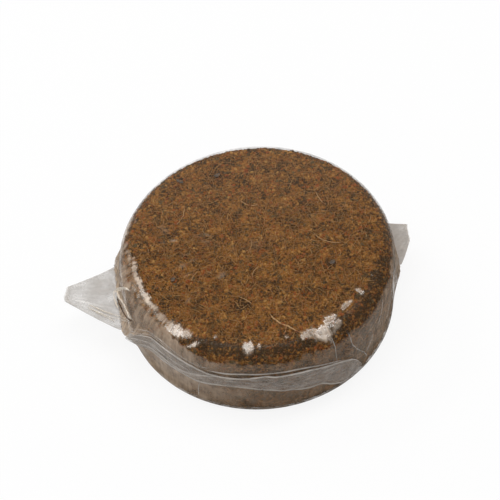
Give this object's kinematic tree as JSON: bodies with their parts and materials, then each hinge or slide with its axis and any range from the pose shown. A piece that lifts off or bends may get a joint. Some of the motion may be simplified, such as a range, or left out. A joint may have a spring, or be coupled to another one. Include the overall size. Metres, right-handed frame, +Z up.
{
  "type": "coir pellet",
  "caption": "Round flat-topped disc of pressed coir in two webs of clear film, welded round the side, with a folded front seal and two film ears that fold.",
  "frame": {"origin": "on the disc's axis, at the plane that the pellet stands on", "axes": "+Z up along the disc's axis, +X to the right towards the short film ear, -X towards the long film ear, -Y towards the folded front seal"},
  "size_m": [0.1044, 0.0809, 0.0275],
  "materials": {
    "pressed_coir": "matte, crumbly",
    "clear_film": "clear, glossy",
    "ear_film": "clear, slightly hazy",
    "welded_film": "hazy weld",
    "coir_fibre": "dry fibre",
    "husk": "dry husk"
  },
  "bodies": {
    "pellet": {"coir_disc": "pressed_coir", "top_film": "clear_film", "bottom_film": "clear_film", "front_seal_fin": "welded_film", "left_ear_crease": "welded_film", "right_ear_crease": "welded_film", "coir_strand_1": "coir_fibre", "coir_strand_2": "coir_fibre", "coir_strand_3": "coir_fibre", "coir_strand_4": "coir_fibre", "coir_strand_5": "coir_fibre", "coir_strand_6": "coir_fibre", "coir_strand_7": "coir_fibre", "coir_strand_8": "coir_fibre", "husk_chip_1": "husk", "husk_chip_2": "husk", "husk_chip_3": "husk", "husk_chip_4": "husk"},
    "left_ear": {"left_ear_upper_ply": "ear_film", "left_ear_lower_ply": "ear_film", "left_ear_end_weld": "welded_film"},
    "right_ear": {"right_ear_upper_ply": "ear_film", "right_ear_lower_ply": "ear_film", "right_ear_end_weld": "welded_film"}
  },
  "joints": [
    {"name": "left_ear_fold", "type": "hinge", "parent": "pellet", "child": "left_ear", "pos_m": [-0.04217, -0.00332, 0.013], "axis": [-0.0785, 0.9969, 0], "range_deg": [-45, 80], "stiffness_Nm_per_rad": 0.0004},
    {"name": "right_ear_fold", "type": "hinge", "parent": "pellet", "child": "right_ear", "pos_m": [0.04097, 0.00722, 0.013], "axis": [0.1736, -0.9848, 0], "range_deg": [-75, 80], "stiffness_Nm_per_rad": 0.0002}
  ]
}
